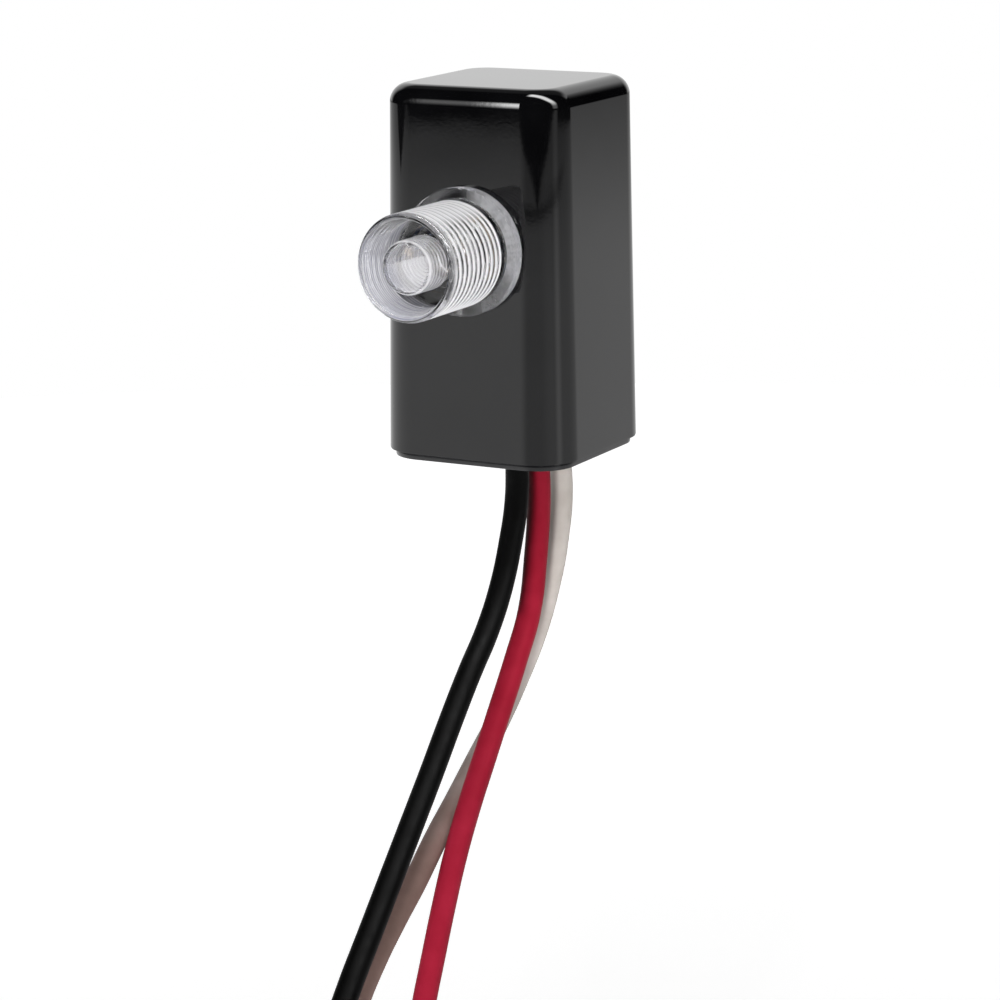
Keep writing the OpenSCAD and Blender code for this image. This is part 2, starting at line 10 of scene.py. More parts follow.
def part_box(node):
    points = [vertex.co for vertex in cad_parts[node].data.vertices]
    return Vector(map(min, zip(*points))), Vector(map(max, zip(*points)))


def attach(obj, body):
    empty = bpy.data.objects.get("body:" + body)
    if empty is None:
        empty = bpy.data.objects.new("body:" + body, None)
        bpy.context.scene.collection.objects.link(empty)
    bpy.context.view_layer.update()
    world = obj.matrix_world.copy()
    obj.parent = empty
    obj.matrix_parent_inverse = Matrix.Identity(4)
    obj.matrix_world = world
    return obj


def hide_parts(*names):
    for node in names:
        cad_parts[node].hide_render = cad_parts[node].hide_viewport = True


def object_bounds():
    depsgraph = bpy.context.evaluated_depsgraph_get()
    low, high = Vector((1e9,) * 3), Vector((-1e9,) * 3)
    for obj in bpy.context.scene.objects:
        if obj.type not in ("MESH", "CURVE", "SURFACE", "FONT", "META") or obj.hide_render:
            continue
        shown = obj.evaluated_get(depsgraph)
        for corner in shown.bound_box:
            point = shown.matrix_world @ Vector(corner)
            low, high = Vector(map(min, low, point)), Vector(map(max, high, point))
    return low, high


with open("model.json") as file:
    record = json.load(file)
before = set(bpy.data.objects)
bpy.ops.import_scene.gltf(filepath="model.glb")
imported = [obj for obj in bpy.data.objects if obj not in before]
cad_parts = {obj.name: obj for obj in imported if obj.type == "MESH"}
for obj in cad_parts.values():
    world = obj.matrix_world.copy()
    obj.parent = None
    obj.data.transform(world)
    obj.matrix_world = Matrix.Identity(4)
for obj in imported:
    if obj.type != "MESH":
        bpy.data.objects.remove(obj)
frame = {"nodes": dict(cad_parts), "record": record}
cad_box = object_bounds()
MM = 0.001
scene = bpy.context.scene
scene.view_settings.view_transform = "Standard"

# Sizes taken from the frame, in metres
housing_low, housing_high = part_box("housing")
lens_low, lens_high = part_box("lens")
HOUSING_W = housing_high.x - housing_low.x
HOUSING_D = housing_high.y - housing_low.y
HOUSING_H = housing_high.z - housing_low.z
HOUSING_Y = (housing_low.y + housing_high.y) / 2
HOUSING_BASE = Vector((0, HOUSING_Y, housing_low.z))

# Camera, by the photograph's own angles, distance and frame of 1000 pixels
FRAME_PX = 1000
CAMERA_AZIMUTH = radians(28.02)
CAMERA_ELEVATION = radians(12.92)
CAMERA_ROLL = radians(0.63)
CAMERA_DISTANCE = 436.05 * MM
CAMERA_CLIP = (0.01, 50)
FOCAL_PX = 3587.5
BASE_PX = (514.03, 440.36)
SENSOR_MM = 36


def toward(azimuth, elevation, reach=1.0):
    """Place at a reach from the origin, by its angle to the right of the front and above the level."""
    return reach * Vector((sin(azimuth) * cos(elevation), -cos(azimuth) * cos(elevation), sin(elevation)))


def make_camera():
    """Camera that sees the middle of the housing's bottom edge at its pixel in the photograph."""
    right = Vector((cos(CAMERA_AZIMUTH), sin(CAMERA_AZIMUTH), 0))
    back = toward(CAMERA_AZIMUTH, CAMERA_ELEVATION)
    up = back.cross(right)
    axis_x = cos(CAMERA_ROLL) * right - sin(CAMERA_ROLL) * up
    axis_y = sin(CAMERA_ROLL) * right + cos(CAMERA_ROLL) * up
    pixel = CAMERA_DISTANCE / FOCAL_PX
    place = (
        HOUSING_BASE
        - (BASE_PX[0] - FRAME_PX / 2) * pixel * axis_x
        - (FRAME_PX / 2 - BASE_PX[1]) * pixel * axis_y
        + CAMERA_DISTANCE * back
    )
    data = bpy.data.cameras.new("camera")
    data.sensor_fit = "HORIZONTAL"
    data.sensor_width = SENSOR_MM
    data.lens = SENSOR_MM * FOCAL_PX / FRAME_PX
    data.clip_start, data.clip_end = CAMERA_CLIP
    camera = bpy.data.objects.new("camera", data)
    camera.matrix_world = Matrix((
        (axis_x.x, axis_y.x, back.x, place.x),
        (axis_x.y, axis_y.y, back.y, place.y),
        (axis_x.z, axis_y.z, back.z, place.z),
        (0, 0, 0, 1),
    ))
    scene.collection.objects.link(camera)
    scene.camera = camera


make_camera()


# Node trees

def set_inputs(node, **values):
    """Sets sockets by name, with underscores for spaces."""
    for key, value in values.items():
        node.inputs[key.replace("_", " ")].default_value = value


class Graph:
    """Short way to chain nodes in one node tree. A value is a number, a colour or another node's socket."""

    def __init__(self, tree):
        self.nodes, self.links = tree.nodes, tree.links

    def feed(self, socket, value):
        """Links a socket to another one, or sets it to a constant."""
        if isinstance(value, bpy.types.NodeSocket):
            self.links.new(value, socket)
        else:
            socket.default_value = value

    def do(self, operation, *values):
        """Result of one Math node."""
        node = self.nodes.new("ShaderNodeMath")
        node.operation = operation
        for socket, value in zip(node.inputs, values):
            self.feed(socket, value)
        return node.outputs[0]

    def chain(self, operation, first, *others):
        """Result of one operation over any count of values."""
        for other in others:
            first = self.do(operation, first, other)
        return first

    def product(self, *values):
        """All values multiplied."""
        return self.chain("MULTIPLY", *values)

    def most(self, *values):
        """The largest of the values."""
        return self.chain("MAXIMUM", *values)

    def total(self, *values):
        """All values added."""
        return self.chain("ADD", *values)

    def gap(self, one, two):
        """How far apart two values are."""
        return self.do("ABSOLUTE", self.do("SUBTRACT", one, two))

    def length(self, one, two):
        """Length of a flat vector, by its two components."""
        return self.do("SQRT", self.total(self.product(one, one), self.product(two, two)))

    def waves(self, source, width):
        """Number that runs from 0 to 1 and back, over two widths of the source."""
        return self.do("PINGPONG", self.do("DIVIDE", source, width), 1.0)

    def map_range(self, kind, source, start, end, low, high):
        """Result of one Map Range node."""
        node = self.nodes.new("ShaderNodeMapRange")
        node.interpolation_type = kind
        sockets = ("Value", "From Min", "From Max", "To Min", "To Max")
        for name, value in zip(sockets, (source, start, end, low, high)):
            self.feed(node.inputs[name], value)
        return node.outputs["Result"]

    def span(self, source, start, end, low, high):
        """Number that goes smoothly from low to high over a span of the source."""
        return self.map_range("SMOOTHSTEP", source, start, end, low, high)

    def rise(self, source, start, end):
        """0 before a span of the source, 1 after it."""
        return self.span(source, start, end, 0.0, 1.0)

    def fall(self, source, start, end):
        """1 before a span of the source, 0 after it."""
        return self.span(source, start, end, 1.0, 0.0)

    def drift(self, source, low, high, start=0.3, end=0.7):
        """Number that goes evenly from low to high over a span of the source, such as a noise."""
        return self.map_range("LINEAR", source, start, end, low, high)

    def between(self, mask, off, on):
        """Off where the mask is 0, on where it is 1."""
        return self.total(self.product(mask, on), self.product(self.do("SUBTRACT", 1.0, mask), off))

    def coords(self, kind):
        """One kind of texture coordinates."""
        return self.nodes.new("ShaderNodeTexCoord").outputs[kind]

    def split(self, vector):
        """The three components of a vector."""
        node = self.nodes.new("ShaderNodeSeparateXYZ")
        self.links.new(vector, node.inputs[0])
        return node.outputs

    def noise(self, scale, detail=3.0):
        """Noise in the object's own coordinates. The scale is per metre."""
        texture = self.nodes.new("ShaderNodeTexNoise")
        set_inputs(texture, Scale=scale, Detail=detail, Roughness=0.5)
        self.links.new(self.coords("Object"), texture.inputs["Vector"])
        return texture.outputs["Fac"]

    def ramp(self, source, low, high, start=0.3, end=0.7):
        """Colour ramp from low to high over a span of the source."""
        node = self.nodes.new("ShaderNodeValToRGB")
        for element, position, colour in zip(node.color_ramp.elements, (start, end), (low, high)):
            element.position = position
            element.color = (*colour, 1)
        self.links.new(source, node.inputs["Fac"])
        return node.outputs["Color"]

    def mix(self, factor, one, two, blend="MIX"):
        """Colour between two colours, or one times the other."""
        node = self.nodes.new("ShaderNodeMix")
        node.data_type = "RGBA"
        node.blend_type = blend
        for name, value in (("Factor", factor), ("A", one), ("B", two)):
            self.feed(node.inputs[name], value)
        return node.outputs["Result"]

    def mix_shaders(self, factor, one, two):
        """Shader between two shaders."""
        node = self.nodes.new("ShaderNodeMixShader")
        self.feed(node.inputs["Fac"], factor)
        self.links.new(one.outputs[0], node.inputs[1])
        self.links.new(two.outputs[0], node.inputs[2])
        return node

    def bump(self, shader, source, depth):
        """Bump of a depth in metres, chained onto what the shader's normal already has."""
        node = self.nodes.new("ShaderNodeBump")
        set_inputs(node, Strength=1.0, Distance=depth)
        self.links.new(source, node.inputs["Height"])
        socket = shader.inputs["Normal"]
        if socket.is_linked:
            self.links.new(socket.links[0].from_socket, node.inputs["Normal"])
        self.links.new(node.outputs["Normal"], socket)


# Materials

def new_material(name):
    """Node material, with its graph and its Principled shader."""
    material = bpy.data.materials.new(name)
    material.use_nodes = True
    return material, Graph(material.node_tree), material.node_tree.nodes["Principled BSDF"]


def plastic(name, dark, light, gloss, grain, wave_depth=0.0):
    """Moulded plastic: slight colour drift, uneven gloss, fine grain and slow waves in the surface."""
    material, graph, shader = new_material(name)
    graph.feed(shader.inputs["Base Color"], graph.ramp(graph.noise(scale=160), dark, light))
    graph.feed(shader.inputs["Roughness"], graph.drift(graph.noise(scale=420, detail=5.0), *gloss))
    if wave_depth:
        graph.bump(shader, graph.noise(scale=90, detail=1.0), wave_depth)
    grain_scale, grain_depth = grain
    graph.bump(shader, graph.noise(grain_scale), grain_depth)
    return material


HOUSING_DARK = (0.001, 0.001, 0.0012)
HOUSING_LIGHT = (0.0022, 0.0022, 0.0025)
HOUSING_WAVE = 0.01 * MM
HOUSING_GRAIN = 0.0006 * MM
DUST_COLOUR = (0.22, 0.21, 0.2, 1)
DUST_SCALE = 520.0


def gloss_black():
    """Housing plastic: black, highly polished, with slow waves, a fine grain and a little dust."""
    material, graph, shader = new_material("housing_gloss_black")
    clean = graph.ramp(graph.noise(scale=120), HOUSING_DARK, HOUSING_LIGHT)
    cells = graph.nodes.new("ShaderNodeTexVoronoi")
    set_inputs(cells, Scale=DUST_SCALE)
    graph.links.new(graph.coords("Object"), cells.inputs["Vector"])
    specks = graph.drift(cells.outputs["Distance"], low=1.0, high=0.0, start=0.02, end=0.05)
    patches = graph.drift(graph.noise(scale=150, detail=2.0), low=0.0, high=1.0, start=0.62, end=0.7)
    dusty = graph.mix(graph.product(specks, patches), clean, DUST_COLOUR)
    graph.feed(shader.inputs["Base Color"], dusty)
    gloss = graph.drift(graph.noise(scale=300, detail=5.0), low=0.015, high=0.04)
    graph.feed(shader.inputs["Roughness"], gloss)
    graph.bump(shader, graph.noise(scale=110, detail=1.0), HOUSING_WAVE)
    graph.bump(shader, graph.noise(scale=2600, detail=4.0), HOUSING_GRAIN)
    return material


# Lens material

LENS_IOR = 1.5
LENS_TINTS = ((0.975, 0.975, 0.995), (0.99, 0.99, 1.0))

# The lee is the side of the lens in the shade, by a direction across the axis, up and to the right
ACROSS_X = 0.9
ACROSS_Z = 0.44
LEE = (-3 * MM, -0.5 * MM)

# Painted shade on the lens: the share of the light that the tint takes in each dark zone, and its limits
PAINTED_SHADE_ZONES = {
    "relief groove": (0.92, dict(y_above=(-1.25, -1.1), y_below=(-0.3, -0.2), radius_above=(5.7, 5.8))),
    "cup's floor": (0.88, dict(y_above=(-8.35, -8.25), y_below=(-8.15, -8.05), z_below=(-2.5, -0.5))),
    "top of the rim": (0.45, dict(y_below=(-12.65, -12.55), z_above=(2, 4))),
    "cup's wall below": (0.35, dict(
        y_above=(-12.6, -12.5), y_below=(-8.5, -8.4), z_below=(-4.5, -2.5),
        radius_above=(3.5, 4), radius_below=(5.55, 5.6))),
    "cup's wall above": (0.55, dict(
        y_above=(-12.6, -12.5), y_below=(-8.5, -8.4), z_above=(3, 4.2), radius_below=(5.66, 5.7))),
}

# Frosted skin. A pair is where it starts and ends, and a four has its share before and after as well.
SKIN_COLOUR = (0.99, 0.985, 1.0, 1)
# Painted shade: the colour and width of dark lines in the skin's lee, for the shade in the thread's roots
PAINTED_SHADE_LINE = (0.52, 0.52, 0.61)
PAINTED_SHADE_LINE_W = 0.18 * MM
SKIN_THROUGH = 0.42
CUP_SKIN = 0.48
CUP_TOP = (2.8 * MM, 4 * MM, 1.0, 0.1)
CUP_BOTTOM = (-5 * MM, -3.5 * MM, 0.55, 1.0)
THREAD_UNDERSIDE = (-0.85, -0.65)
THREAD_STEEP = (0.68, 0.92, 0.0, 0.92)
THREAD_LEE = 0.6
CREST_SKIN = (0.6, 0.9)
CREST_R = (6.31 * MM, 6.345 * MM)
# Painted light and shade on the post: its rings, its arcs and its warm spot
RING_W = 0.35 * MM
RING_SKIN = (0.2, 0.8, 0.22, 0.6)
WINDOW_SLANT = 0.3
WINDOW_SKIN = (0.7 * MM, 1.2 * MM, 0.3, 0.1)
ARC_X = 2.9 * MM
ARC_Z = 1.2 * MM
ARC_W = 0.2 * MM
ARC_SKIN = (0.2, 0.8, 0.6, 1.2)
SPOT_COLOUR = (1.0, 0.9, 0.8, 1)
SPOT_X = 0.3 * MM
SPOT_Z = 1.9 * MM
SPOT_EDGE = (0.3 * MM, 1 * MM)
SPOT_SKIN = 0.24
# Painted light behind the flange: its share below, by height
FLANGE_LIGHT_BELOW = (-5 * MM, 0.0, 0.3, 1.0)


def lens_place(graph):
    """Where a point of the lens is: coordinates, radius from the axis, place across and share of lee."""
    x, y, z = graph.split(graph.coords("Object"))
    across = graph.total(graph.product(x, ACROSS_X), graph.product(z, ACROSS_Z))
    lee = graph.fall(across, *LEE)
    return SimpleNamespace(x=x, y=y, z=z, radius=graph.length(x, z), across=across, lee=lee)


def zone(graph, at, **limits):
    """Mask that is 1 inside soft limits. Each is named axis_above or axis_below, in millimetres."""
    edges = []
    for name, (start, end) in limits.items():
        axis, side = name.split("_")
        edge = graph.rise if side == "above" else graph.fall
        edges.append(edge(getattr(at, axis), start * MM, end * MM))
    return graph.product(*edges)


def lens_painted_shade(graph, at):
    """Share of the light that the plastic's tint lets through, lowered in dark zones as painted shade."""
    return graph.product(*(
        graph.do("SUBTRACT", 1.0, graph.product(zone(graph, at, **limits), loss))
        for loss, limits in PAINTED_SHADE_ZONES.values()
    ))


def cup_skin(graph, at):
    """Painted light: frosted skin on the cup's wall in the lee, where the wall looks pale, thinner at the
    top and at the bottom.
    """
    wall = zone(
        graph, at, radius_above=(5.1, 5.15), radius_below=(5.66, 5.7), y_above=(-12.6, -12.3),
        y_below=(-8.5, -8.3), across_below=(-0.8, 0.4))
    return graph.product(wall, CUP_SKIN, graph.span(at.z, *CUP_TOP), graph.span(at.z, *CUP_BOTTOM))


def thread_skin(graph, at):
    """Frosted skin on the thread: its flanks, its steep sides, its lee and all of its underside. On the
    steep sides, the underside and the lee it is painted light, laid where the barrel looks white.
    """
    rise = graph.do("DIVIDE", at.z, at.radius)
    under = graph.fall(rise, *THREAD_UNDERSIDE)
    steep = graph.span(graph.do("ABSOLUTE", rise), *THREAD_STEEP)
    flank = zone(graph, at, radius_above=(6.13, 6.27))
    flank = graph.most(flank, steep, graph.product(at.lee, THREAD_LEE), under)
    on_crest = graph.most(graph.between(at.lee, *CREST_SKIN), under)
    crest = graph.span(at.radius, *CREST_R, 1.0, on_crest)
    barrel = zone(graph, at, y_below=(-1.3, -1.1), y_above=(-12.3, -12.1), radius_above=(5.9, 5.92))
    return graph.product(flank, crest, barrel)


def post_skin(graph, at):
    """Frosted skin on the post, ringed on its wall and in arcs on its window, and the warm spot there. The
    rings, the arcs and the warm spot are painted light and shade.
    """
    wall = zone(graph, at, radius_above=(2.88, 3.05), radius_below=(3.25, 3.4), y_below=(-8.5, -8.3))
    rings = graph.span(graph.waves(at.y, RING_W), *RING_SKIN)
    window = zone(graph, at, y_below=(-11.85, -11.7), radius_below=(2.75, 2.85))
    slant = graph.do("SUBTRACT", at.z, graph.product(at.x, WINDOW_SLANT))
    window = graph.product(window, graph.span(slant, *WINDOW_SKIN))
    from_spot = graph.length(graph.do("SUBTRACT", at.x, SPOT_X), graph.do("SUBTRACT", at.z, SPOT_Z))
    spot = graph.product(graph.fall(from_spot, *SPOT_EDGE), graph.rise(window, 0.0, 0.1))
    window = graph.most(window, graph.product(spot, SPOT_SKIN))
    from_arcs = graph.length(graph.do("SUBTRACT", at.x, ARC_X), graph.do("SUBTRACT", at.z, ARC_Z))
    arcs = graph.span(graph.waves(from_arcs, ARC_W), *ARC_SKIN)
    return graph.most(graph.product(wall, rings), graph.product(window, arcs)), spot


def flange_painted_light(graph, at):
    """Painted light: a patchy white frosted sheet behind the flange, on its right half, thinner below,
    where the flange looks bright.
    """
    film = zone(graph, at, y_above=(1.55, 1.6), radius_above=(5.5, 5.8), x_above=(-0.5, 3))
    patches = graph.drift(graph.noise(scale=1400), low=0.72, high=1.0, start=0.35, end=0.6)
    return graph.product(film, graph.span(at.z, *FLANGE_LIGHT_BELOW), patches)


def frosted_shader(graph, at, cup, spot):
    """White skin that scatters light back and through, with painted shade lines in the lee and on the cup's
    wall.
    """
    shade_lines = graph.ramp(graph.waves(at.y, PAINTED_SHADE_LINE_W), PAINTED_SHADE_LINE, (1.0, 1.0, 1.0), start=0.25, end=0.75)
    colour = graph.mix(graph.most(at.lee, cup), SKIN_COLOUR, shade_lines)
    colour = graph.mix(spot, colour, SPOT_COLOUR)
    back = graph.nodes.new("ShaderNodeBsdfDiffuse")
    through = graph.nodes.new("ShaderNodeBsdfTranslucent")
    for node in (back, through):
        graph.links.new(colour, node.inputs["Color"])
    return graph.mix_shaders(SKIN_THROUGH, back, through)


def clear_plastic():
    """Lens plastic: clear and faintly cool, with a frosted skin that is partly painted light, painted shade
    in dark zones and a white sheet behind the flange as painted light.
    """
    material, graph, shader = new_material("lens_clear")
    set_inputs(shader, Transmission_Weight=1.0, IOR=LENS_IOR)
    graph.feed(shader.inputs["Roughness"], graph.drift(graph.noise(scale=900), low=0.0, high=0.03))
    at = lens_place(graph)
    tint = graph.ramp(graph.noise(scale=200, detail=2.0), *LENS_TINTS)
    # The tint is darkened in a few zones as painted shade.
    graph.feed(shader.inputs["Base Color"], graph.mix(1.0, tint, lens_painted_shade(graph, at), "MULTIPLY"))
    cup = cup_skin(graph, at)
    post, spot = post_skin(graph, at)
    cover = graph.most(thread_skin(graph, at), post, flange_painted_light(graph, at), cup)
    mixed = graph.mix_shaders(cover, shader, frosted_shader(graph, at, cup, spot))
    graph.links.new(mixed.outputs[0], graph.nodes["Material Output"].inputs["Surface"])
    return material


INSULATION_SHEEN = 0.06
INSULATION_GRAIN = 0.008 * MM
INSULATION_WAVE = 0.02 * MM
TINT_BLUR = 6 * MM
# Heights of the painted shade at a lead's upper end, of the painted light and shade at its lower end and of
# the painted shade on its left side
UPPER_Z = (-46 * MM, -34 * MM)
LOWER_Z = (-68 * MM, -52 * MM)
LEFT_Z = (-45 * MM, -38 * MM)
LEFT_NORMAL = (-0.6, 0.6)


def insulation(name, dark, light, upper_painted_shade, lower_painted_light_and_shade, shaded=1.0):
    """Wire insulation: dull, with slight colour drift, painted shade at its upper end, painted light and
    shade at its lower end, and painted shade on its left side.
    """
    material, graph, shader = new_material(name)
    set_inputs(shader, Specular_IOR_Level=INSULATION_SHEEN)
    colour = graph.ramp(graph.noise(scale=260, detail=4.0), dark, light)
    place_z = graph.split(graph.coords("Object"))["Z"]
    height = graph.total(place_z, graph.product(graph.noise(scale=300), TINT_BLUR))
    normal_x = graph.split(graph.nodes.new("ShaderNodeNewGeometry").outputs["Normal"])["X"]
    left_side = graph.product(graph.fall(normal_x, *LEFT_NORMAL), graph.rise(height, *LEFT_Z))
    # Painted shade at the upper end and on the left side, painted light and shade at the lower end
    for mask, tint in (
        (graph.rise(height, *UPPER_Z), upper_painted_shade),
        (graph.fall(height, *LOWER_Z), lower_painted_light_and_shade),
        (left_side, (shaded, shaded, shaded)),
    ):
        colour = graph.mix(mask, colour, (*tint, 1), "MULTIPLY")
    graph.feed(shader.inputs["Base Color"], colour)
    gloss = graph.drift(graph.noise(scale=700, detail=4.0), low=0.4, high=0.55)
    graph.feed(shader.inputs["Roughness"], gloss)
    graph.bump(shader, graph.noise(scale=3200, detail=4.0), INSULATION_GRAIN)
    graph.bump(shader, graph.noise(scale=420, detail=2.0), INSULATION_WAVE)
    return material


def metal(name, dark, light, gloss):
    """Bare metal with uneven polish."""
    material, graph, shader = new_material(name)
    set_inputs(shader, Metallic=1.0)
    graph.feed(shader.inputs["Base Color"], graph.ramp(graph.noise(scale=900, detail=4.0), dark, light))
    graph.feed(shader.inputs["Roughness"], graph.drift(graph.noise(scale=2400, detail=4.0), *gloss))
    return material


# Each plastic: its darkest and lightest colour, its range of roughness, and its grain's scale and depth
MATERIALS = {
    "housing_black": gloss_black(),
    "plate_black": plastic(
        "plate_black", dark=(0.006, 0.006, 0.0065), light=(0.01, 0.01, 0.011),
        gloss=(0.12, 0.25), grain=(2400, 0.004 * MM), wave_depth=0.03 * MM),
    "clear_lens": clear_plastic(),
    "board_laminate": plastic(
        "board_laminate", dark=(0.015, 0.11, 0.04), light=(0.03, 0.17, 0.07),
        gloss=(0.3, 0.45), grain=(2600, 0.01 * MM)),
    "sensor_disc": plastic(
        "sensor_disc", dark=(0.4, 0.3, 0.2), light=(0.5, 0.39, 0.28),
        gloss=(0.3, 0.5), grain=(3000, 0.01 * MM)),
    "relay_case": plastic(
        "relay_case", dark=(0.62, 0.57, 0.45), light=(0.7, 0.66, 0.55),
        gloss=(0.35, 0.5), grain=(2600, 0.01 * MM)),
    "film_case": plastic(
        "film_case", dark=(0.55, 0.34, 0.02), light=(0.65, 0.43, 0.05),
        gloss=(0.25, 0.35), grain=(2600, 0.01 * MM)),
    "can_sleeve": plastic(
        "can_sleeve", dark=(0.012, 0.03, 0.08), light=(0.022, 0.045, 0.1),
        gloss=(0.2, 0.35), grain=(2600, 0.01 * MM)),
    "varistor_coat": plastic(
        "varistor_coat", dark=(0.03, 0.11, 0.36), light=(0.05, 0.16, 0.44),
        gloss=(0.2, 0.35), grain=(1800, 0.03 * MM)),
    "resistor_coat": plastic(
        "resistor_coat", dark=(0.25, 0.23, 0.18), light=(0.34, 0.31, 0.26),
        gloss=(0.5, 0.65), grain=(2600, 0.02 * MM)),
    "chip_black": plastic(
        "chip_black", dark=(0.013, 0.013, 0.014), light=(0.024, 0.024, 0.025),
        gloss=(0.4, 0.55), grain=(4000, 0.01 * MM)),
    "solder": metal("solder", dark=(0.5, 0.51, 0.52), light=(0.66, 0.67, 0.68), gloss=(0.2, 0.4)),
    "copper": metal("copper", dark=(0.62, 0.3, 0.16), light=(0.8, 0.46, 0.28), gloss=(0.22, 0.4)),
    "insulation_black": insulation(
        "insulation_black", dark=(0.0016, 0.0016, 0.0016), light=(0.0026, 0.0026, 0.0026),
        upper_painted_shade=(1, 1, 1), lower_painted_light_and_shade=(0.6, 0.6, 0.6)),
    "insulation_red": insulation(
        "insulation_red", dark=(0.23, 0.0072, 0.0195), light=(0.28, 0.0115, 0.028),
        upper_painted_shade=(0.8, 0.75, 0.77), lower_painted_light_and_shade=(1.1, 1.19, 1.22), shaded=0.15),
    "insulation_white": insulation(
        "insulation_white", dark=(0.4, 0.364, 0.335), light=(0.5, 0.458, 0.432),
        upper_painted_shade=(0.9, 0.91, 0.907), lower_painted_light_and_shade=(0.5, 0.356, 0.333)),
}


# Pieces

def place_piece(piece, slot, node):
    """Rides a piece on the one body, with its finish, in place of a CAD node."""
    piece.data.materials.clear()
    piece.data.materials.append(MATERIALS[slot])
    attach(piece, "root")
    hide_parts(node)
    return piece


def mesh_object(name, bm, smooth=True):
    """New object from a bmesh."""
    bmesh.ops.recalc_face_normals(bm, faces=bm.faces)
    for face in bm.faces:
        face.smooth = smooth
    mesh = bpy.data.meshes.new(name)
    bm.to_mesh(mesh)
    bm.free()
    piece = bpy.data.objects.new(name, mesh)
    scene.collection.objects.link(piece)
    return piece


def bridge(bm, one, two):
    """Quads between two rings of the same length."""
    count = len(one)
    for k in range(count):
        n = (k + 1) % count
        bm.faces.new((one[k], one[n], two[n], two[k]))


def apply_modifiers(piece):
    """Turns a piece's modifiers into its mesh."""
    bpy.context.view_layer.update()
    evaluated = piece.evaluated_get(bpy.context.evaluated_depsgraph_get())
    mesh = bpy.data.meshes.new_from_object(evaluated)
    piece.modifiers.clear()
    piece.data = mesh


# Leads: the middle lines from the inner end down, in millimetres

LEAD_D = 2.9 * MM
LEAD_BEVEL_STEPS = 8
LEAD_CURVE_STEPS = 6
ROUTES_MM = {
    "black": [
        (3.2, 8.2, -19.5), (3.2, 8.2, -25.5), (3.2, 7.9, -31), (3.2, 6.2, -36), (3.2, 3.6, -41),
        (3.2, 0, -45.4), (3.2, -4.4, -49.3), (3.2, -9.2, -54), (3.2, -14, -59), (3.2, -19, -64),
        (3.2, -24, -69), (3.2, -29, -74), (3.2, -34, -79), (3.2, -38.6, -84.5), (3.2, -42.2, -91),
        (3.2, -44.6, -98), (3.2, -46, -105), (3.2, -46.6, -112), (3.2, -46.8, -119),
        (3.2, -46.8, -126), (3.2, -46.8, -133), (3.2, -46.8, -140.5), (3.2, -46.8, -148),
    ],
    "red": [
        (3.2, 13.5, -19.5), (3.2, 13.5, -25.5), (3.3, 13.6, -32), (3.2, 12.8, -39), (3.2, 11, -45.5),
        (3.2, 7.4, -50.6), (3.2, 3, -56), (3.2, -1.3, -61.2), (3.2, -5.2, -66), (3.2, -8.8, -71.2),
        (3.2, -11.7, -76.4), (3.2, -14.4, -81.8), (3.2, -17, -87.2), (3.2, -19.2, -93),
        (3.2, -20.8, -99), (3.2, -21.8, -105.4), (3.2, -22.3, -112), (3.2, -22.5, -119),
        (3.2, -22.5, -126), (3.2, -22.5, -133), (3.2, -22.5, -140), (3.2, -22.5, -149),
        (3.2, -22.5, -158),
    ],
    "white": [
        (3.2, 18.8, -19.5), (3.2, 18.8, -25.5), (3.4, 19.4, -32), (3.3, 18.4, -38), (2.7, 17.1, -43.8),
        (1.8, 15, -49.6), (0.9, 11.7, -54.8), (0.4, 7.4, -59.2), (0.2, 2.4, -62.8),
        (0.2, -2.8, -66.2), (0.2, -7.9, -69.4), (0.2, -13, -73.1), (0.2, -18.2, -76.4),
        (0.2, -23, -79.8), (0.2, -27.4, -83.8), (0.2, -31, -89), (0.2, -33.6, -95),
        (0.2, -35.2, -101.6), (0.2, -36, -108.4), (0.2, -36.2, -115.4), (0.2, -36.2, -122.4),
        (0.2, -36.2, -129.4), (0.2, -36.2, -137), (0.2, -36.2, -144.6),
    ],
}


def make_lead(colour):
    """One insulated lead as a round curve through its route."""
    points = [Vector(p) * MM for p in ROUTES_MM[colour]]
    data = bpy.data.curves.new("wire_" + colour, "CURVE")
    data.dimensions = "3D"
    data.bevel_depth = LEAD_D / 2
    data.bevel_resolution = LEAD_BEVEL_STEPS
    data.resolution_u = LEAD_CURVE_STEPS
    data.use_fill_caps = True
    spline = data.splines.new("BEZIER")
    spline.bezier_points.add(len(points) - 1)
    for knot, point in zip(spline.bezier_points, points):
        knot.co = point
        knot.handle_left_type = "AUTO"
        knot.handle_right_type = "AUTO"
    wire = bpy.data.objects.new("wire_" + colour, data)
    scene.collection.objects.link(wire)
    return place_piece(wire, "insulation_" + colour, "lead_" + colour), points


STRAND_COUNT = 7
STRAND_R = 0.2 * MM
STRAND_TWIST = 1.5 * pi
STRAND_STEPS = 40
STRAND_SIDES = 8


def make_strands(colour):
    """Bare end of a lead: strands twisted round a straight core."""
    low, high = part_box("strands_" + colour)
    axis = (low + high) / 2
    outline = [
        STRAND_R * Vector((cos(a), sin(a), 0))
        for a in (2 * pi * k / STRAND_SIDES for k in range(STRAND_SIDES))
    ]
    bm = bmesh.new()
    for strand in range(STRAND_COUNT):
        orbit = 2 * STRAND_R if strand else 0
        rings = []
        for step in range(STRAND_STEPS + 1):
            t = step / STRAND_STEPS
            angle = STRAND_TWIST * t + 2 * pi * strand / (STRAND_COUNT - 1)
            height = high.z + (low.z - high.z) * t
            centre = Vector((axis.x + orbit * cos(angle), axis.y + orbit * sin(angle), height))
            rings.append([bm.verts.new(centre + point) for point in outline])
        for one, two in zip(rings, rings[1:]):
            bridge(bm, one, two)
        bm.faces.new(rings[0])
        bm.faces.new(rings[-1])
    return place_piece(mesh_object("bare_strands_" + colour, bm), "copper", "strands_" + colour)


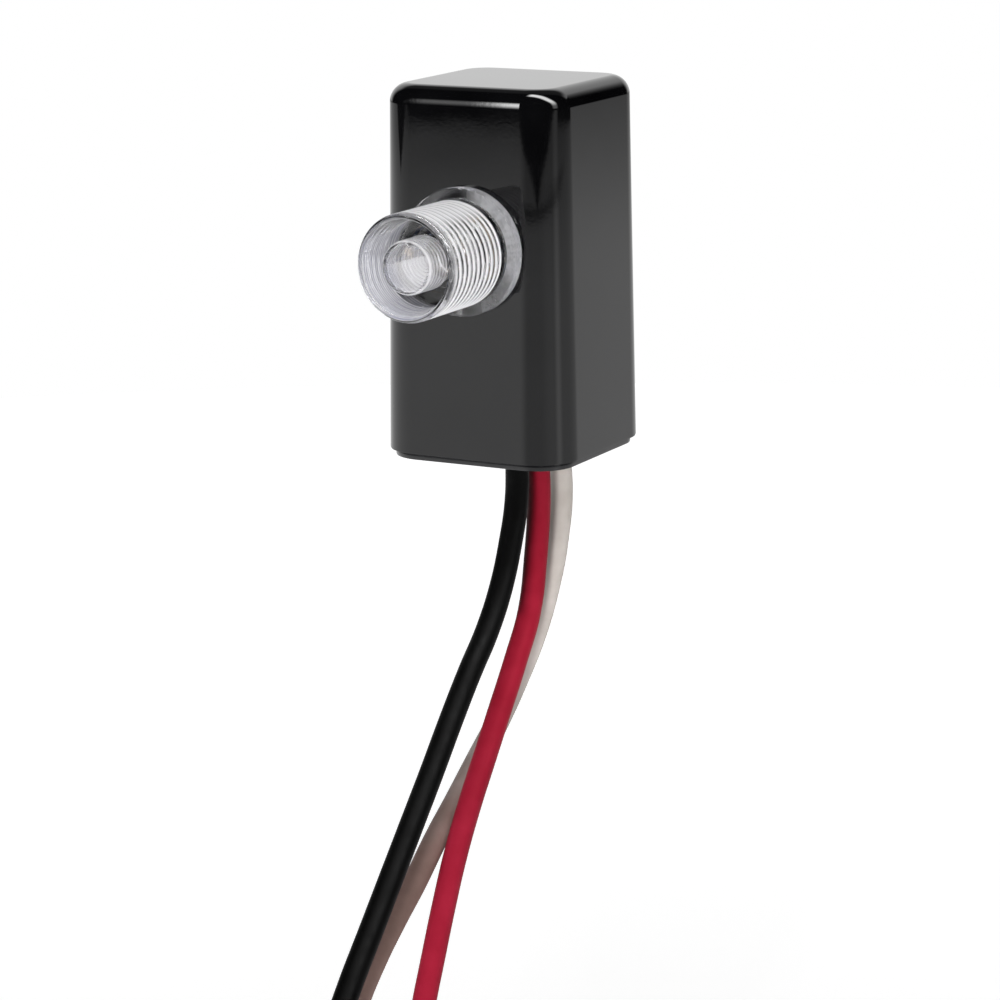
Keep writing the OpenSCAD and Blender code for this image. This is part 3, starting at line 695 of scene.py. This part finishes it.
for lead_colour in ROUTES_MM:
    wire, wire_points = make_lead(lead_colour)
    strands = make_strands(lead_colour)


# Housing

WALL = 1.8 * MM
CORNER_R = 5.2 * MM
TOP_EDGE_R = 2.3 * MM
CAVITY_EDGE_R = 0.8 * MM
FOOT_EDGE_R = 0.2 * MM
FOOT_EDGE_CUT = FOOT_EDGE_R * (1 - sqrt(0.5))
DRAFT = radians(0.9)
FLANGE_T = 1.65 * MM
FIT_GAP = 0.1 * MM
SPIGOT_D = 10 * MM
FLANGE_D = lens_high.x - lens_low.x
CUT_FRONT = -3 * MM
CUT_SIDES = 96
WALL_ROWS = 4
CORNER_STEPS = 20
EDGE_STEPS = 14
CAVITY_EDGE_STEPS = 6
HOUSING_SHARP = radians(35)
NORMAL_WEIGHT = 100


def drafted_profile(radius, height, edge_r, steps):
    """Points of [radius, height] up a drafted wall and over its rounded top edge."""
    arc_z = height - edge_r
    arc_x = radius - tan(DRAFT) * arc_z - edge_r / cos(DRAFT)
    points = [
        (radius - tan(DRAFT) * arc_z * k / WALL_ROWS, arc_z * k / WALL_ROWS) for k in range(WALL_ROWS)
    ]
    for k in range(steps + 1):
        a = DRAFT + (pi / 2 - DRAFT) * k / steps
        points.append((arc_x + edge_r * cos(a), arc_z + edge_r * sin(a)))
    return points


def rounded_ring(bm, core_x, core_y, radius, z, steps):
    """Ring of vertices at a distance from a core rectangle, with round corners."""
    ring = []
    for quarter, (sx, sy) in enumerate(((1, 1), (-1, 1), (-1, -1), (1, -1))):
        for k in range(steps + 1):
            a = (quarter + k / steps) * pi / 2
            ring.append(bm.verts.new((sx * core_x + radius * cos(a), sy * core_y + radius * sin(a), z)))
    return ring


def drafted_shell(bm, width, depth, corner_r, profile):
    """Skin of a drafted block, closed at its top. Returns its lowest ring."""
    core_x = width / 2 - corner_r
    core_y = depth / 2 - corner_r
    rings = [rounded_ring(bm, core_x, core_y, radius, z, CORNER_STEPS) for radius, z in profile]
    for one, two in zip(rings, rings[1:]):
        bridge(bm, one, two)
    bm.faces.new(rings[-1])
    return rings[0]


def cutter(name, radius, y0, y1):
    """Cylinder along Y, for a cut on the lens axis."""
    bm = bmesh.new()
    bmesh.ops.create_cone(
        bm, cap_ends=True, segments=CUT_SIDES, radius1=radius, radius2=radius, depth=y1 - y0)
    bmesh.ops.rotate(bm, verts=bm.verts, matrix=Matrix.Rotation(pi / 2, 3, "X"))
    bmesh.ops.translate(bm, verts=bm.verts, vec=(0, (y0 + y1) / 2, 0))
    return mesh_object(name, bm)


def housing_block():
    """The shell with its cavity, before its cuts."""
    bm = bmesh.new()
    outer_profile = drafted_profile(CORNER_R, HOUSING_H, TOP_EDGE_R, EDGE_STEPS)
    outer_profile[:1] = [
        (CORNER_R - FOOT_EDGE_R, 0),
        (CORNER_R - FOOT_EDGE_CUT, FOOT_EDGE_CUT),
        (CORNER_R, FOOT_EDGE_R),
    ]
    outer = drafted_shell(bm, HOUSING_W, HOUSING_D, CORNER_R, outer_profile)
    inner_r = CORNER_R - WALL
    inner_profile = drafted_profile(inner_r, HOUSING_H - WALL, CAVITY_EDGE_R, CAVITY_EDGE_STEPS)
    inner = drafted_shell(bm, HOUSING_W - 2 * WALL, HOUSING_D - 2 * WALL, inner_r, inner_profile)
    bridge(bm, outer, inner)
    bmesh.ops.translate(bm, verts=bm.verts, vec=HOUSING_BASE)
    return mesh_object("housing_shell", bm)


def make_housing():
    """Polished shell with its cavity, the lens seat and the lens hole."""
    shell = housing_block()
    cuts = [
        cutter("seat_cut", FLANGE_D / 2 + FIT_GAP, CUT_FRONT, FLANGE_T),
        cutter("hole_cut", SPIGOT_D / 2 + FIT_GAP, CUT_FRONT, FLANGE_T + 2 * WALL),
    ]
    for cut in cuts:
        modifier = shell.modifiers.new(cut.name, "BOOLEAN")
        modifier.operation = "DIFFERENCE"
        modifier.solver = "EXACT"
        modifier.object = cut
    apply_modifiers(shell)
    for cut in cuts:
        bpy.data.objects.remove(cut)
    shell.data.shade_smooth()
    shell.data.set_sharp_from_angle(angle=HOUSING_SHARP)
    weighted = shell.modifiers.new("weighted", "WEIGHTED_NORMAL")
    weighted.keep_sharp = True
    weighted.weight = NORMAL_WEIGHT
    apply_modifiers(shell)
    return place_piece(shell, "housing_black", "housing")


make_housing()


# Base plate: the CAD solid with its edges eased

PLATE_EASE = 0.12 * MM
PLATE_EASE_STEPS = 2
PLATE_SHARP = radians(40)
MERGE_REACH = 0.002 * MM
FLAT_ANGLE = radians(1)


def make_base_plate():
    """Copy of the CAD plate with its sharp edges rounded, in place of it."""
    bm = bmesh.new()
    bm.from_mesh(frame["nodes"]["base_plate"].data)
    bmesh.ops.remove_doubles(bm, verts=bm.verts, dist=MERGE_REACH)
    bmesh.ops.dissolve_limit(bm, angle_limit=FLAT_ANGLE, verts=bm.verts, edges=bm.edges)
    piece = mesh_object("base_cover", bm)
    easing = piece.modifiers.new("easing", "BEVEL")
    easing.width = PLATE_EASE
    easing.segments = PLATE_EASE_STEPS
    easing.limit_method = "ANGLE"
    easing.angle_limit = PLATE_SHARP
    easing.use_clamp_overlap = True
    apply_modifiers(piece)
    piece.data.shade_smooth()
    piece.data.set_sharp_from_angle(angle=PLATE_SHARP)
    return place_piece(piece, "plate_black", "base_plate")


make_base_plate()


# Lens: a path of (radius, distance in front of the flange) turned about the lens axis

BARREL_R = 6.35 * MM
BARREL_L = 12.8 * MM
THREAD_PITCH = 1.08 * MM
THREAD_DEPTH = 0.4 * MM
THREAD_CREST = 1.8
THREAD_START = 1.2 * MM
THREAD_RUN_IN = 0.3 * THREAD_PITCH
THREAD_RUN_OUT = 0.5 * THREAD_PITCH
THREAD_ROWS_PER_PITCH = 22
RELIEF_R = BARREL_R - 0.5 * MM
LAND_W = 0.3 * MM
RIM_CHAMFER = 0.35 * MM
THREAD_END = BARREL_L - 2 * RIM_CHAMFER
CUP_R = 5.2 * MM
CUP_RIM_R = 5.65 * MM
CUP_DEPTH = 4.6 * MM
CUP_FLOOR = BARREL_L - CUP_DEPTH
POST_R = 3.2 * MM
POST_END = BARREL_L - 0.25 * MM
POST_EASE = 0.6 * MM
WELL_R = POST_R - 0.4 * MM
WELL_END = POST_END - 0.6 * MM
WELL_EASE = 0.4 * MM
POCKET_R = 3.9 * MM
POCKET_END = -FLANGE_T
LENS_BACK = -lens_high.y
LENS_EDGE_R = 0.15 * MM
LENS_SIDES = 192
LENS_SHARP = radians(50)
SEAT_GAP = 0.02 * MM
EASE_STEPS = 4
EASE_SHARE = 2.5
ON_AXIS = 1e-7


def rounded_path(points):
    """Path through points of (r, s), or (r, s, rounding), with its inner corners rounded."""
    path = [Vector(points[0])]
    for before, corner, after in zip(points, points[1:], points[2:]):
        ease = corner[2] if len(corner) > 2 else LENS_EDGE_R
        corner = Vector(corner[:2])
        back = Vector(before[:2]) - corner
        on = Vector(after[:2]) - corner
        reach = min(ease, back.length / EASE_SHARE, on.length / EASE_SHARE)
        start = corner + back.normalized() * reach
        end = corner + on.normalized() * reach
        for k in range(EASE_STEPS + 1):
            t = k / EASE_STEPS
            path.append((1 - t) ** 2 * start + 2 * t * (1 - t) * corner + t ** 2 * end)
    path.append(Vector(points[-1]))
    return path


def lens_path():
    """The lens's outline from its back to its front, as points with a flag for the thread."""
    seat = -FLANGE_T + SEAT_GAP
    back = rounded_path([
        (0, WELL_END), (WELL_R, WELL_END, WELL_EASE), (WELL_R, POCKET_END), (POCKET_R, POCKET_END),
        (POCKET_R, LENS_BACK), (SPIGOT_D / 2, LENS_BACK), (SPIGOT_D / 2, seat), (FLANGE_D / 2, seat),
        (FLANGE_D / 2, 0), (BARREL_R, 0), (BARREL_R, LAND_W), (RELIEF_R, LAND_W),
        (RELIEF_R, THREAD_START), (BARREL_R, THREAD_START),
    ])[:-1]
    front = rounded_path([
        (BARREL_R, THREAD_END), (BARREL_R, BARREL_L - RIM_CHAMFER), (BARREL_R - RIM_CHAMFER, BARREL_L),
        (CUP_RIM_R, BARREL_L), (CUP_R, CUP_FLOOR), (POST_R, CUP_FLOOR), (POST_R, POST_END, POST_EASE),
        (0, POST_END),
    ])[1:]
    thread_l = THREAD_END - THREAD_START
    rows = round(thread_l / THREAD_PITCH * THREAD_ROWS_PER_PITCH)
    thread = [Vector((BARREL_R, THREAD_START + thread_l * k / rows)) for k in range(rows + 1)]
    return [(p, False) for p in back] + [(p, True) for p in thread] + [(p, False) for p in front]


def thread_cut(s, turn):
    """Depth of the helical thread below its crest: a wide rounded crest over a narrow root."""
    phase = s / THREAD_PITCH - turn
    wave = abs(2 * (phase - floor(phase)) - 1)
    fade = min(1, (s - THREAD_START) / THREAD_RUN_IN, (THREAD_END - s) / THREAD_RUN_OUT)
    return THREAD_DEPTH * (1 - wave) ** THREAD_CREST * max(0, fade)


def lens_ring(bm, r, s, threaded):
    """Ring of vertices round the lens axis, or one vertex on it."""
    if r < ON_AXIS:
        return [bm.verts.new((0, -s, 0))]
    ring = []
    for k in range(LENS_SIDES):
        turn = k / LENS_SIDES
        radius = r - thread_cut(s, turn) if threaded else r
        ring.append(bm.verts.new((radius * cos(2 * pi * turn), -s, radius * sin(2 * pi * turn))))
    return ring


def make_lens():
    """Clear lens turned about its axis, with a helical thread on the barrel."""
    bm = bmesh.new()
    rings = [lens_ring(bm, r, s, threaded) for (r, s), threaded in lens_path()]
    for tip, ring in ((rings[0][0], rings[1]), (rings[-1][0], rings[-2])):
        for k in range(LENS_SIDES):
            bm.faces.new((tip, ring[k], ring[(k + 1) % LENS_SIDES]))
    for one, two in zip(rings[1:-1], rings[2:-1]):
        bridge(bm, one, two)
    lens = mesh_object("lens_clear_body", bm)
    lens.data.set_sharp_from_angle(angle=LENS_SHARP)
    return place_piece(lens, "clear_lens", "lens")


make_lens()


# Pieces inside keep their CAD solids

for subpart in frame["record"]["subparts"]:
    node_object = frame["nodes"][subpart["node"]]
    node_object.data.materials.clear()
    node_object.data.materials.append(MATERIALS[subpart["material_slot"]])


# Stage: a pale floor below the leads, soft lamps and a white surround

FLOOR_Z = cad_box[0][2] - 4 * MM
FLOOR_R = 0.8
FLOOR_SIDES = 96
FLOOR_COLOUR = (0.8, 0.8, 0.8, 1)
FLOOR_ROUGHNESS = 0.9
GLOW_NEAR = 0.585
GLOW_FAR = 0.82
GLOW_START = 0.2
GLOW_END = 0.65
WHITE = (1, 1, 1, 1)
AMBIENT = 0.15
BACKDROP = 1.0


def make_floor():
    """Pale disc that glows more where less lamp light falls, and keeps the object's shadow."""
    bm = bmesh.new()
    bmesh.ops.create_circle(bm, cap_ends=True, segments=FLOOR_SIDES, radius=FLOOR_R)
    floor_disc = mesh_object("floor", bm, smooth=False)
    floor_disc.location.z = FLOOR_Z
    material, graph, shader = new_material("floor_white")
    set_inputs(shader, Base_Color=FLOOR_COLOUR, Roughness=FLOOR_ROUGHNESS, Specular_IOR_Level=0.0)
    set_inputs(shader, Emission_Color=WHITE)
    reach = graph.nodes.new("ShaderNodeVectorMath")
    reach.operation = "LENGTH"
    graph.links.new(graph.coords("Object"), reach.inputs[0])
    glow = graph.drift(reach.outputs["Value"], GLOW_NEAR, GLOW_FAR, GLOW_START, GLOW_END)
    graph.feed(shader.inputs["Emission Strength"], glow)
    floor_disc.data.materials.append(material)
    floor_disc.visible_glossy = False


def place_lamp(data, place, target):
    """Puts a lamp at a place and turns it to a point. It shows in no mirror and not to the camera."""
    lamp = bpy.data.objects.new(data.name, data)
    lamp.location = place
    lamp.rotation_euler = (Vector(place) - Vector(target)).to_track_quat("Z", "Y").to_euler()
    lamp.visible_camera = False
    lamp.visible_glossy = False
    scene.collection.objects.link(lamp)


def area_lamp(name, place, target, size, power):
    """Soft rectangular lamp that faces a point."""
    data = bpy.data.lights.new(name, "AREA")
    data.shape = "RECTANGLE"
    data.size, data.size_y = size
    data.energy = power
    place_lamp(data, place, target)


def spot_lamp(name, place, target, cone, radius, power):
    """Narrow soft beam on a point."""
    data = bpy.data.lights.new(name, "SPOT")
    data.spot_size = cone
    data.spot_blend = 1.0
    data.shadow_soft_size = radius
    data.energy = power
    place_lamp(data, place, target)


# Mirrored studio, by direction: the turn to the right of the camera's side, and the height z

# A pair is where something starts and ends, and a four has the level before and after as well
TABLE_MIDDLE = (0.0, 0.8)
TABLE_LEFT_Z = (-0.135, -0.09)
TABLE_LEFT = (1.15, 0.5)
TABLE_RIGHT_Z = (-0.15, -0.08)
TABLE_RIGHT = (0.78, 0.29)
TABLE_TURNS = (
    (-0.95, -0.5, 1.0, 0.555), (0.05, 0.75, 1.0, 1.8), (1.1, 1.7, 1.0, 0.85), (1.95, 2.1, 1.0, 1.18))
TABLE_END = (-0.075, -0.055, 1.0, 0.02)
LAMP_TURN = 0.94
STREAK = (0.0, 0.24, 1.7, 1.0)

# Dark shapes on the table
LEFT_FIELD_TURN = (-1.2, -0.6)
LEFT_FIELD = (-0.0955, -0.0925, 1.0, 0.4)
WEDGE_LEFT_Z = 0.1113
WEDGE_LEFT_SLOPE = 49.0
WEDGE_RIGHT_Z = 0.1108
WEDGE_RIGHT_SLOPE = 38.0
WEDGE_EDGE = (-0.03, 0.05, 1.0, 0.02)
PEAK_TURN = 1.6
PEAK_Z = 0.1135
PEAK_SLOPE = 15.0
PEAK_EDGE = (-0.03, 0.06, 1.0, 0.05)
RIGHT_FIELD_START = (1.05, 1.15)
RIGHT_FIELD_END = (2.0, 2.1)
RIGHT_FIELD = (-0.0833, -0.0803, 1.0, 0.03)
RIGHT_FIELD_SLOPE = 0.0105
BOW_START = (-0.95, -0.7)
BOW_END = (1.2, 1.6)
BOW_Z = -0.1135
BOW_SLOPE = 0.0025
BOW_W = 0.0042
BOW_DEPTH = (-0.5, 1.3, 0.02, 0.45)

# Backdrop and lamps
BEHIND_TURN = (2.25, 2.6)
BEHIND_Z = (-0.1, -0.02)
BESIDE_TURN = (1.95, 2.2)
BESIDE_Z = (0.4, 0.45)
BACKDROP_TOP = (0.5, 0.7, 1.0, 0.1)
STRIP_SLANT = 0.67
STRIP_EDGE = (0.05, 0.7, 5.0, 0.0)
STRIP_AHEAD = (0.1, 0.2)
STRIP_ALONG = ((-0.49, -0.484, 0.03, 0.4), (-0.4725, -0.461, 1.0, 8.0), (-0.45, -0.43, 1.0, 0.0))
ARCH_LEAN = (0.45, 0.9, -0.05, 0.07)
ARCH_EDGE = (0.05, 0.19, 16.0, 0.0)
ARCH_OVER = (-0.3, -0.12)
ARCH_HEIGHT = (0.25, 0.75, 0.12, 1.0)
ARCH_FOOT = (0.0, 0.15)
LEAST_AHEAD = 0.02


def table_level(graph, turn, z):
    """White table: brighter below and to the left, with a streak of the lamp."""
    left = graph.between(graph.rise(z, *TABLE_LEFT_Z), *TABLE_LEFT)
    right = graph.between(graph.rise(z, *TABLE_RIGHT_Z), *TABLE_RIGHT)
    level = graph.between(graph.rise(turn, *TABLE_MIDDLE), left, right)
    for limits in TABLE_TURNS:
        level = graph.product(level, graph.span(turn, *limits))
    streak = graph.span(graph.gap(turn, LAMP_TURN), *STREAK)
    return graph.product(level, streak, graph.span(z, *TABLE_END))


def dark_fields(graph, turn, z):
    """Light left by the dark fields at the table's left and right."""
    left = graph.between(graph.fall(turn, *LEFT_FIELD_TURN), 1.0, graph.span(z, *LEFT_FIELD))
    on_right = graph.product(graph.rise(turn, *RIGHT_FIELD_START), graph.fall(turn, *RIGHT_FIELD_END))
    climb = graph.total(z, graph.product(turn, RIGHT_FIELD_SLOPE))
    right = graph.between(on_right, 1.0, graph.span(climb, *RIGHT_FIELD))
    return graph.product(left, right)


def dark_points(graph, turn, z):
    """Light left by the dark wedge in the table's middle and the dark peak at its left."""
    wedge_left = graph.total(graph.product(graph.total(z, WEDGE_LEFT_Z), WEDGE_LEFT_SLOPE), turn)
    wedge_right = graph.product(graph.total(z, WEDGE_RIGHT_Z), WEDGE_RIGHT_SLOPE)
    wedge = graph.do("MINIMUM", wedge_left, graph.do("SUBTRACT", wedge_right, turn))
    peak_off = graph.do("ABSOLUTE", graph.total(turn, PEAK_TURN))
    peak = graph.do("SUBTRACT", graph.product(graph.total(z, PEAK_Z), PEAK_SLOPE), peak_off)
    return graph.product(graph.span(wedge, *WEDGE_EDGE), graph.span(peak, *PEAK_EDGE))


def dark_bow(graph, turn, z):
    """Light left by the thin dark bow across the table's front."""
    off = graph.gap(z, graph.total(BOW_Z, graph.product(turn, BOW_SLOPE)))
    bow = graph.span(off, 0.0, BOW_W, graph.span(turn, *BOW_DEPTH), 1.0)
    return graph.between(graph.product(graph.rise(turn, *BOW_START), graph.fall(turn, *BOW_END)), 1.0, bow)


def backdrop_mask(graph, turn, z):
    """Where the white backdrop is: behind the object, and high up at its right."""
    behind = graph.product(
        graph.rise(graph.do("ABSOLUTE", turn), *BEHIND_TURN), graph.rise(z, *BEHIND_Z))
    beside = graph.product(graph.rise(turn, *BESIDE_TURN), graph.rise(z, *BESIDE_Z))
    return graph.product(graph.most(behind, beside), graph.span(z, *BACKDROP_TOP))


def strip_level(graph, ahead, aside, z):
    """Long lamp above the camera, with its ends by the direction along the housing's front edge."""
    slant = graph.do("DIVIDE", z, graph.most(ahead, LEAST_AHEAD))
    level = graph.span(graph.gap(slant, STRIP_SLANT), *STRIP_EDGE)
    level = graph.product(level, graph.rise(ahead, *STRIP_AHEAD))
    along = graph.total(
        graph.product(ahead, sin(CAMERA_AZIMUTH)), graph.product(aside, cos(CAMERA_AZIMUTH)))
    for limits in STRIP_ALONG:
        level = graph.product(level, graph.span(along, *limits))
    return level


def arch_level(graph, ahead, aside, z):
    """Tall lamp to the right of the camera, which leans over the object."""
    over = graph.total(graph.product(ahead, cos(LAMP_TURN)), graph.product(aside, sin(LAMP_TURN)))
    off = graph.do("SUBTRACT", graph.product(aside, cos(LAMP_TURN)), graph.product(ahead, sin(LAMP_TURN)))
    off = graph.do("ABSOLUTE", graph.total(off, graph.span(z, *ARCH_LEAN)))
    return graph.product(
        graph.span(off, *ARCH_EDGE), graph.rise(over, *ARCH_OVER),
        graph.span(z, *ARCH_HEIGHT), graph.rise(z, *ARCH_FOOT))


def studio_level(graph, x, y, z):
    """What the polished plastic mirrors: a white table, a backdrop, a dark room and two lamps."""
    ahead = graph.total(graph.product(x, sin(CAMERA_AZIMUTH)), graph.product(y, -cos(CAMERA_AZIMUTH)))
    aside = graph.total(graph.product(x, cos(CAMERA_AZIMUTH)), graph.product(y, sin(CAMERA_AZIMUTH)))
    turn = graph.do("ARCTAN2", aside, ahead)
    table = graph.product(*(
        part(graph, turn, z) for part in (table_level, dark_fields, dark_points, dark_bow)
    ))
    room = graph.between(backdrop_mask(graph, turn, z), table, BACKDROP)
    return graph.total(room, strip_level(graph, ahead, aside, z), arch_level(graph, ahead, aside, z))


def make_world():
    """White to the eye and through the lens, a studio in mirrored light and even fill for the rest."""
    world = bpy.data.worlds.new("surround")
    scene.world = world
    world.use_nodes = True
    graph = Graph(world.node_tree)
    background = graph.nodes["Background"]
    studio = studio_level(graph, *graph.split(graph.coords("Generated")))
    path = graph.nodes.new("ShaderNodeLightPath").outputs
    mirrored = graph.between(path["Is Glossy Ray"], 1.0, studio)
    graph.feed(background.inputs["Strength"], graph.between(path["Is Diffuse Ray"], mirrored, AMBIENT))
    set_inputs(background, Color=WHITE)


make_floor()
make_world()
area_lamp(
    "overhead", place=toward(CAMERA_AZIMUTH, radians(45), reach=1.4), target=(0, 0, 0),
    size=(2.2, 0.4), power=11)
area_lamp(
    "key", place=toward(radians(17), radians(8), reach=1.2), target=(0, 0, -50 * MM),
    size=(0.2, 0.2), power=10)
spot_lamp(
    "side", place=toward(radians(98), radians(-8), reach=0.25), target=(3 * MM, 15 * MM, -30 * MM),
    cone=radians(7), radius=0.03, power=6)
